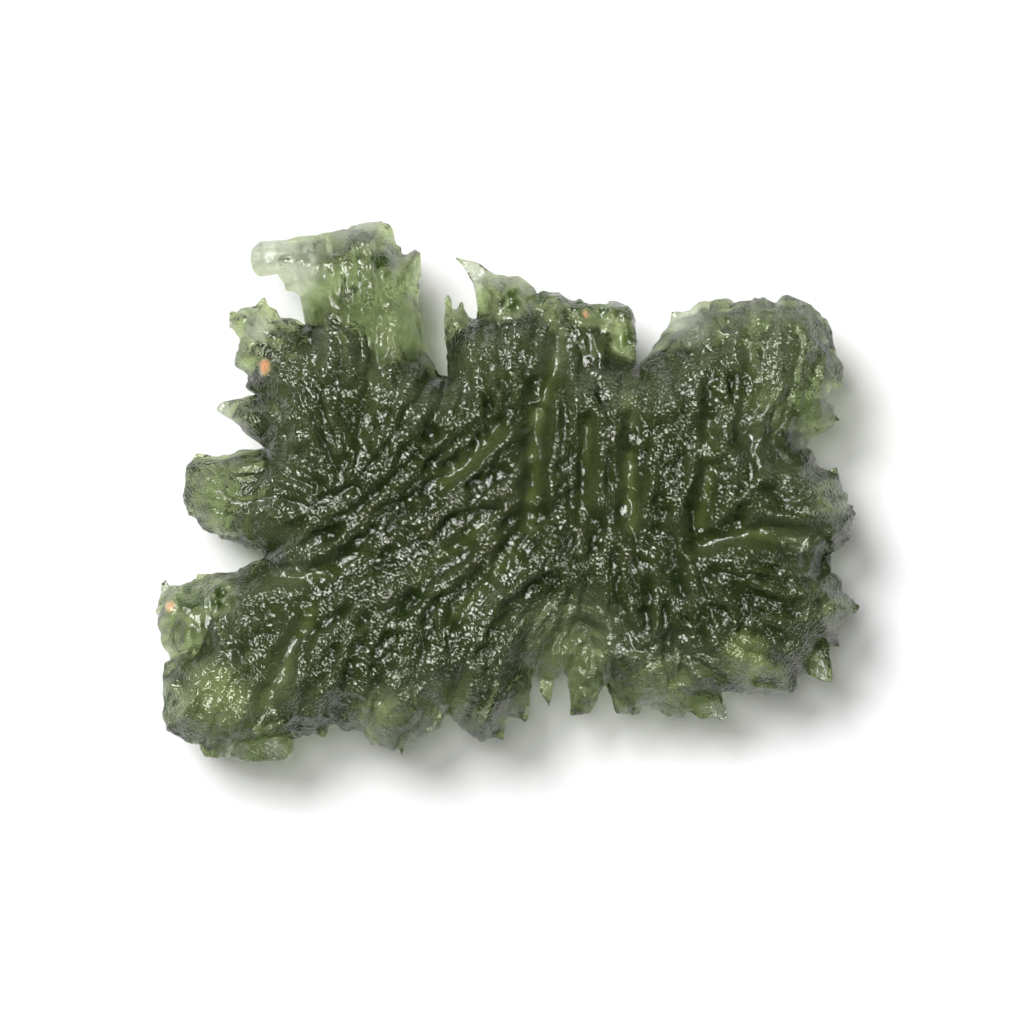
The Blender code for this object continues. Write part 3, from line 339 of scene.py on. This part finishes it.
def only_select(thing):
    """Makes one object the only selected and the active one."""
    bpy.ops.object.select_all(action="DESELECT")
    thing.select_set(True)
    bpy.context.view_layer.objects.active = thing


def smooth(value):
    """An even ramp from 0 to 1."""
    value = np.clip(value, 0.0, 1.0)
    return value * value * (3.0 - 2.0 * value)


# ---- The stone's mesh ------------------------------------------------------------
class FineMesh:
    """The fine mesh's corners as arrays, with what its neighbours say about each."""

    def __init__(self, mesh):
        self.mesh = mesh
        self.count = len(mesh.vertices)
        self.points = np.empty(self.count * 3)
        mesh.vertices.foreach_get("co", self.points)
        self.points = self.points.reshape(-1, 3) / MM
        ends = np.empty(len(mesh.edges) * 2, dtype=int)
        mesh.edges.foreach_get("vertices", ends)
        pairs = ends.reshape(-1, 2)
        self.here = np.concatenate([pairs[:, 0], pairs[:, 1]])
        self.there = np.concatenate([pairs[:, 1], pairs[:, 0]])
        self.near = np.bincount(self.here, minlength=self.count)
        self.triangles = np.empty(len(mesh.polygons) * 3, dtype=int)
        mesh.polygons.foreach_get("vertices", self.triangles)
        self.triangles = self.triangles.reshape(-1, 3)

    def gather(self, values):
        """Mean of the neighbours' values at each corner."""
        if values.ndim == 1:
            return np.bincount(self.here, values[self.there], self.count) / self.near
        return np.stack([self.gather(column) for column in values.T], axis=1)

    def blur(self, values, rounds):
        """Values evened out with those of their neighbours, a number of times."""
        for _ in range(rounds):
            values = 0.5 * values + 0.5 * self.gather(values)
        return values

    def normals(self):
        """Outward unit normals."""
        a, b, c = (self.points[self.triangles[:, side]] for side in range(3))
        face = np.cross(b - a, c - a)
        total = np.stack([sum(np.bincount(self.triangles[:, side], face[:, axis], self.count)
                              for side in range(3)) for axis in range(3)], axis=1)
        return total / (np.linalg.norm(total, axis=1, keepdims=True) + 1e-12)

    def store(self, **layers):
        """Writes the corners and some values per corner back into the mesh."""
        self.mesh.vertices.foreach_set("co", (self.points * MM).ravel())
        for name, values in layers.items():
            layer = self.mesh.attributes.new(name, "FLOAT", "POINT")
            layer.data.foreach_set("value", np.clip(values, 0.0, 1.0))
        self.mesh.update()


def stretches(line):
    """Start points and vectors of a line's straight stretches."""
    points = np.array(line, dtype=float)
    return points[:-1], points[1:] - points[:-1]


def profile(places, strokes, width):
    """Height of the tallest stroke at each place, each with a bell-shaped section."""
    height = np.zeros(len(places))
    for amount, line in strokes:
        for start, step in zip(*stretches(line)):
            along = np.clip(((places - start) @ step) / (step @ step), 0.0, 1.0)
            gap = places - start - along[:, None] * step
            height = np.maximum(height, amount * np.exp(-np.sum(gap * gap, axis=1) / width ** 2))
    return height


def discs(places, circles):
    """1 in the middle of the circles, fading to 0 past their edges."""
    found = np.zeros(len(places))
    for centre, radius in circles:
        found = np.maximum(found, smooth(DISC_FADE - np.hypot(*(places - centre).T) / radius))
    return found


class Grain:
    """The direction in which the ripples run, read between the guide strokes."""

    def __init__(self, strokes):
        starts, steps = zip(*[stretches(line) for _, line in strokes])
        steps = np.vstack(steps)
        middles = np.vstack(starts) + steps / 2.0
        turn = 2.0 * np.arctan2(steps[:, 1], steps[:, 0])
        ticks = np.arange(-GRAIN_REACH, GRAIN_REACH + GRAIN_STEP, GRAIN_STEP)
        grid = np.stack(np.meshgrid(ticks, ticks, indexing="ij"), axis=-1)
        away = np.sum((grid[:, :, None] - middles) ** 2, axis=-1) + GRAIN_BLEND
        pull = np.hypot(*steps.T) / away ** 2
        self.turns = np.stack([pull @ np.cos(turn), pull @ np.sin(turn)], axis=-1)
        self.turns /= np.linalg.norm(self.turns, axis=-1, keepdims=True)

    def headings(self, places):
        """Unit vectors along the grain."""
        inside = len(self.turns) - 1.001
        spot = np.clip((places + GRAIN_REACH) / GRAIN_STEP, 0.0, inside)
        low = spot.astype(int)
        (u, v), (i, j) = (spot - low).T[:, :, None], low.T
        mixed = ((1 - u) * (1 - v) * self.turns[i, j] + u * (1 - v) * self.turns[i + 1, j]
                 + (1 - u) * v * self.turns[i, j + 1] + u * v * self.turns[i + 1, j + 1])
        turn = 0.5 * np.arctan2(mixed[:, 1], mixed[:, 0])
        return np.stack([np.cos(turn), np.sin(turn)], axis=1)


def grid_noise(places, table):
    """Smooth random values from a table of random numbers, one number per unit cell."""
    low = np.floor(places).astype(int)
    u, v = smooth(places - low).T
    i, j = (low % len(table)).T
    ni, nj = ((low + 1) % len(table)).T
    return ((1 - u) * (1 - v) * table[i, j] + u * (1 - v) * table[ni, j]
            + (1 - u) * v * table[i, nj] + u * v * table[ni, nj])


def streaks(places, grain, width, seed):
    """Long random ripples along the grain, as sharp crests between rounded valleys."""
    table = np.random.default_rng(seed).normal(size=(STREAK_TABLE, STREAK_TABLE))
    total = np.zeros(len(places))
    count = int(STREAK_LENGTH / 2.0 / STREAK_STEP)
    for way in (-1.0, 1.0):
        spots = places.copy()
        heading = way * grain.headings(spots)
        for step in range(count):
            total += (1.0 - step / count) * grid_noise(spots / width, table)
            spots = spots + STREAK_STEP * heading
            turned = grain.headings(spots)
            flip = np.sum(turned * heading, axis=1)
            heading = turned * np.where(flip < 0.0, -1.0, 1.0)[:, None]
    total /= total.std()
    return STREAK_LEVEL - np.abs(total)


def ripples(places, top):
    """Height of the wide and narrow ripples, on the upper face and on the underside."""
    upper_grain, under_grain = Grain(CRESTS + TROUGHS), Grain(UNDER_FURROWS)
    total = np.zeros(len(places))
    for number, (width, height) in enumerate(STREAKS):
        total += height * (streaks(places, upper_grain, width, UPPER_SEED + number) * top
                           + streaks(places, under_grain, width, UNDER_SEED + number) * (1.0 - top))
    return total


def lumps(points, size, seed):
    """Even random swellings of about the given size."""
    aside = Vector((seed, 0.0, 0.0))
    return np.array([noise.noise(Vector(point) / size + aside) for point in points])


def etched_pits(points):
    """Round pits of uneven size, as depth from 0 to 1."""
    found = np.empty(len(points))
    for index, point in enumerate(points):
        gaps, seeds = noise.voronoi(Vector(point) / PIT_SPACING)
        size = PIT_SIZE + PIT_SPREAD * noise.cell(seeds[0] * PIT_SCATTER)
        found[index] = max(0.0, 1.0 - (gaps[0] / size) ** 2)
    return found


def glass_behind(fine, ways):
    """How much glass lies behind each corner in the given directions, in mm."""
    tree = BVHTree.FromPolygons([Vector(point) for point in fine.points], fine.triangles.tolist())
    found = np.empty(fine.count)
    for index, (point, way) in enumerate(zip(fine.points, ways)):
        inward = Vector(way)
        found[index] = tree.ray_cast(Vector(point) + RAY_START * inward, inward)[3] or 0.0
    return found


def height_over_form(fine, normals):
    """How far each corner stands out from the stone's broad form, in mm."""
    return np.sum((fine.points - fine.blur(fine.points, BROAD_ROUNDS)) * normals, axis=1)


def cut_finely(node):
    """A copy of the solid's mesh, welded and with every facet cut into small triangles."""
    stone = bpy.data.objects.new("moldavite_glass", node.data.copy())
    bpy.context.scene.collection.objects.link(stone)
    only_select(stone)
    bpy.ops.object.mode_set(mode="EDIT")
    bpy.ops.mesh.select_all(action="SELECT")
    bpy.ops.mesh.remove_doubles(threshold=WELD_GAP * MM)
    bpy.ops.mesh.subdivide(number_cuts=FINE_CUTS, smoothness=0.0)
    bpy.ops.mesh.quads_convert_to_tris()
    bpy.ops.object.mode_set(mode="OBJECT")
    return stone


def round_facets(fine, rim):
    """Lets the facets flow into one another, least at the rim, which stays sharp."""
    share = 0.5 * (1.0 - (1.0 - RIM_ROUNDING) * rim)
    for _ in range(ROUNDING_ROUNDS):
        fine.points += share[:, None] * (fine.gather(fine.points) - fine.points)


def survey(fine):
    """What lies at each corner: its face, the glass behind it, and the strokes and places."""
    normals = fine.blur(fine.normals(), NORMAL_ROUNDS)
    normals /= np.linalg.norm(normals, axis=1, keepdims=True)
    none = np.zeros(fine.count)
    upright = np.stack([none, none, -np.sign(normals[:, 2])], axis=1)
    thickness = glass_behind(fine, -normals)
    depth = np.minimum(thickness, glass_behind(fine, upright))
    places = fine.points[:, :2]
    top = fine.blur((normals[:, 2] > 0.0).astype(float), NORMAL_ROUNDS)
    beads = 1.0 + BEAD_DEPTH * lumps(fine.points, CREST_BEAD, BEAD_SEED)
    trough = profile(places, TROUGHS, TROUGH_WIDTH)
    return SimpleNamespace(
        normals=normals, top=top, trough=trough,
        thickness=fine.blur(thickness, DEPTH_ROUNDS), depth=fine.blur(depth, DEPTH_ROUNDS),
        ridge=height_over_form(fine, normals),
        crest=profile(places, CRESTS, CREST_WIDTH) * beads * top,
        calm=np.maximum(discs(places, SMOOTH_PLACES), TROUGH_CALM * trough) * top,
        rough=discs(places, ROUGH_PLACES) * top,
        ripple=ripples(places, top))


def etch(fine, at, rim):
    """Moves the corners in and out: ridges, crests, ripples, lumps and pits."""
    small = sum(height * lumps(fine.points, size, LUMP_SEED) for size, height in LUMPS)
    small = at.ripple + small * (1.0 + at.rough) - PIT_DEPTH * etched_pits(fine.points)
    shift = (CREST_SHARE * at.crest - RIDGE_SOFTENING * at.ridge) * (1.0 - rim)
    shift += (1.0 - STREAK_CALM * np.clip(at.calm + at.crest, 0.0, 1.0)) * small
    shift *= 1.0 - RIM_CALM * rim
    strength = np.clip(at.thickness / FULL_RELIEF, LEAST_RELIEF, 1.0)
    clearance = np.clip(fine.points[:, 2] / CLEARANCE, 0.0, 1.0)
    strength *= np.where(at.normals[:, 2] < 0.0, clearance, 1.0)
    fine.points += (shift * strength)[:, None] * at.normals


def store_looks(fine, at):
    """Stores how etched, raised, deep, pale, lit, clear and clay-stained each corner is; the
    raised and lit values are painted shade, sheen and light.
    """
    places = fine.points[:, :2]
    mottled = np.clip(1.0 + DARK_MOTTLE * lumps(fine.points, DARK_GRAIN, DARK_SEED), 0.0, 1.0)
    dark = discs(places, DARK_PLACES) * mottled
    # Painted light: the windows and the floors of troughs get a brighter green, as if light came up
    # through the glass.
    patchy = 1.0 + lumps(fine.points, GLOW_SIZE, GLOW_SEED)
    glow = discs(places, WINDOWS) + TROUGH_GLOW * at.trough * at.top
    glow = np.clip(glow * patchy, 0.0, 1.0)
    body = np.maximum(smooth((at.depth - THIN_DEPTH) / (DEEP_DEPTH - THIN_DEPTH)), dark)
    clay = discs(places, CLAY_SPECKS) * at.top
    height = height_over_form(fine, at.normals)
    fine.store(
        frost=(FROST_PLAIN + FROST_CREST * at.crest + FROST_RIDGE * at.ridge
               + FROST_RIPPLE * at.ripple + FROST_ROUGH * at.rough + FROST_CALM * at.calm),
        # relief carries painted shade and sheen: darker in the valleys, paler on the heights and crests
        relief=RELIEF_MIDDLE + RELIEF_GAIN * height + at.crest - dark,
        glow=glow, body=body, pale=discs(places, PALE_PLACES), clay=clay,
        clear=CLEAR_PLAIN - BODY_VEIL * body - GLOW_VEIL * glow - DARK_VEIL * dark - clay)


def fine_stone(node):
    """The stone's visible mesh: the solid's facets, cut finer, rounded and etched."""
    stone = cut_finely(node)
    fine = FineMesh(stone.data)
    wall = (np.abs(fine.normals()[:, 2]) < WALL_TILT).astype(float)
    rim = np.clip(fine.blur(wall, NORMAL_ROUNDS) * WALL_SPREAD, 0.0, 1.0)
    foot = fine.points[:, 2] < FOOT_HEIGHT
    round_facets(fine, rim)
    at = survey(fine)
    etch(fine, at, rim)
    fine.points[:, 2] = np.where(foot, 0.0, np.maximum(fine.points[:, 2], 0.0))
    store_looks(fine, at)
    bpy.ops.object.shade_smooth()
    return stone


# ---- Materials -------------------------------------------------------------------
def natural_tektite_glass():
    """Bottle-green tektite glass, etched by soil acids: see-through where thin, deep and dark
    where thick, its skin covered in fine pits that each catch a point of light. Its colour also
    holds painted light: painted shade in the valleys, a painted sheen on the heights and painted
    light coming up through the windows and troughs."""
    material, output = new_material("natural tektite glass")
    tree = material.node_tree
    place = add_node(tree, "ShaderNodeTexCoord").outputs["Object"]
    frost, relief, glow, body, pale, clear, clay = [
        add_node(tree, "ShaderNodeAttribute", attribute_name=name).outputs["Fac"]
        for name in ("frost", "relief", "glow", "body", "pale", "clear", "clay")]

    pits = add_node(tree, "ShaderNodeTexVoronoi", {"Vector": place, "Scale": 1.0 / (PIT_WIDTH * MM)})
    pit_strength = add_node(tree, "ShaderNodeMapRange", {
        "Value": frost, "From Max": FULL_FROST, "To Min": PIT_STRENGTH[0], "To Max": PIT_STRENGTH[1]})
    pitted = add_node(tree, "ShaderNodeBump", {
        "Height": pits.outputs["Distance"], "Strength": pit_strength.outputs["Result"],
        "Distance": PIT_RELIEF * MM})
    grit = add_node(tree, "ShaderNodeTexNoise", {
        "Vector": place, "Scale": 1.0 / (GRIT_WIDTH * MM), "Detail": 2.0, "Roughness": 0.6})
    grit_strength = add_node(tree, "ShaderNodeMapRange", {
        "Value": frost, "From Max": FULL_FROST, "To Min": GRIT_STRENGTH[0], "To Max": GRIT_STRENGTH[1]})
    gritty = add_node(tree, "ShaderNodeBump", {
        "Height": grit.outputs["Fac"], "Strength": grit_strength.outputs["Result"],
        "Distance": GRIT_RELIEF * MM, "Normal": pitted.outputs["Normal"]})
    roughness = add_node(tree, "ShaderNodeMapRange", {
        "Value": frost, "From Max": SHEEN_FROST,
        "To Min": SKIN_ROUGHNESS[0], "To Max": SKIN_ROUGHNESS[1]})

    thin_glass = add_node(tree, "ShaderNodeMix", {
        "Factor": pale, FIRST_COLOUR: linear(THIN_GREEN), SECOND_COLOUR: linear(PALE_GREEN)},
        data_type="RGBA")
    # Painted shade and sheen: the valleys darker, the heights and crests paler.
    shaded_deep_glass = add_node(tree, "ShaderNodeMix", {
        "Factor": relief, FIRST_COLOUR: linear(VALLEY_SHADE_GREEN), SECOND_COLOUR: linear(HEIGHT_SHEEN_GREEN)},
        data_type="RGBA")
    # Painted light: windows and troughs brighter green, as if lit from below through the glass.
    lit_glass = add_node(tree, "ShaderNodeMix", {
        "Factor": glow, FIRST_COLOUR: shaded_deep_glass.outputs[MIXED_COLOUR],
        SECOND_COLOUR: linear(GLOW_GREEN)}, data_type="RGBA")
    glass = add_node(tree, "ShaderNodeMix", {
        "Factor": body, FIRST_COLOUR: thin_glass.outputs[MIXED_COLOUR],
        SECOND_COLOUR: lit_glass.outputs[MIXED_COLOUR]}, data_type="RGBA")
    skin = add_node(tree, "ShaderNodeMix", {
        "Factor": clay, FIRST_COLOUR: glass.outputs[MIXED_COLOUR],
        SECOND_COLOUR: linear(CLAY)}, data_type="RGBA")

    shader = add_node(tree, "ShaderNodeBsdfPrincipled", {
        "Base Color": skin.outputs[MIXED_COLOUR], "IOR": REFRACTION, "Transmission Weight": clear,
        "Specular IOR Level": GLOSS, "Roughness": roughness.outputs["Result"],
        "Normal": gritty.outputs["Normal"]})
    absorb = add_node(tree, "ShaderNodeVolumeAbsorption", {
        "Color": linear(INNER_GREEN), "Density": INNER_DENSITY})
    tree.links.new(shader.outputs["BSDF"], output.inputs["Surface"])
    tree.links.new(absorb.outputs["Volume"], output.inputs["Volume"])
    return material


def white_paper():
    """Matt white paper under the stone."""
    material, output = new_material("matt white paper")
    shader = add_node(material.node_tree, "ShaderNodeBsdfPrincipled", {
        "Base Color": linear(PAPER_WHITE), "Roughness": 0.9, "Specular IOR Level": 0.0})
    material.node_tree.links.new(shader.outputs["BSDF"], output.inputs["Surface"])
    return material


# ---- Stage, light and camera -----------------------------------------------------
def table():
    """The white table that the stone lies on."""
    bpy.ops.object.select_all(action="DESELECT")
    bpy.ops.mesh.primitive_plane_add(size=FLOOR_SIZE, location=(0.0, 0.0, -FLOOR_DROP))
    floor = bpy.context.active_object
    floor.name = "table"
    floor.data.materials.append(white_paper())


def aim(thing, target):
    """Turns a lamp or camera towards a point."""
    thing.rotation_euler = (Vector(target) - thing.location).to_track_quat("-Z", "Y").to_euler()


def lights():
    """Three round soft lamps and a faint even sky."""
    for name, (azimuth, elevation, edge, radiance) in LAMPS.items():
        azimuth, elevation = math.radians(azimuth), math.radians(elevation)
        lamp = bpy.data.objects.new(name, bpy.data.lights.new(name, "AREA"))
        lamp.data.shape = "DISK"
        lamp.data.size = 2.0 * LAMP_DISTANCE * math.tan(math.radians(edge))
        lamp.data.energy = radiance * math.pi * (math.pi * lamp.data.size ** 2 / 4.0)
        distance = LAMP_DISTANCE * (1.0 - LAMP_STAGGER * radiance)
        lamp.location = distance * Vector((math.cos(azimuth) * math.cos(elevation),
                                           math.sin(azimuth) * math.cos(elevation),
                                           math.sin(elevation)))
        bpy.context.scene.collection.objects.link(lamp)
        aim(lamp, (0.0, 0.0, 0.0))
    world = bpy.data.worlds.new("studio")
    world.use_nodes = True
    sky = world.node_tree.nodes["Background"]
    sky.inputs["Color"].default_value = linear(SKY_WHITE)
    sky.inputs["Strength"].default_value = SKY_STRENGTH
    bpy.context.scene.world = world


def camera():
    """The camera, straight above the stone."""
    shown = IMAGE_PIXELS / PIXELS_PER_MM * MM
    lens = bpy.data.cameras.new("camera")
    lens.sensor_width = SENSOR_WIDTH
    lens.lens = SENSOR_WIDTH * CAMERA_HEIGHT / shown
    lens.clip_start = CAMERA_CLIP
    taker = bpy.data.objects.new("camera", lens)
    half = IMAGE_PIXELS / 2.0
    taker.location = ((half - STONE_MIDDLE_PIXEL[0]) / PIXELS_PER_MM * MM,
                      (STONE_MIDDLE_PIXEL[1] - half) / PIXELS_PER_MM * MM, CAMERA_HEIGHT)
    bpy.context.scene.collection.objects.link(taker)
    bpy.context.scene.camera = taker


camera()
lights()
table()
stone = fine_stone(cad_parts["moldavite"])
stone.data.materials.clear()
stone.data.materials.append(natural_tektite_glass())
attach(stone, "root")
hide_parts("moldavite")
bpy.context.scene.view_settings.view_transform = "Standard"
bpy.context.scene.cycles.max_bounces = LIGHT_BOUNCES
bpy.context.scene.cycles.transmission_bounces = LIGHT_BOUNCES
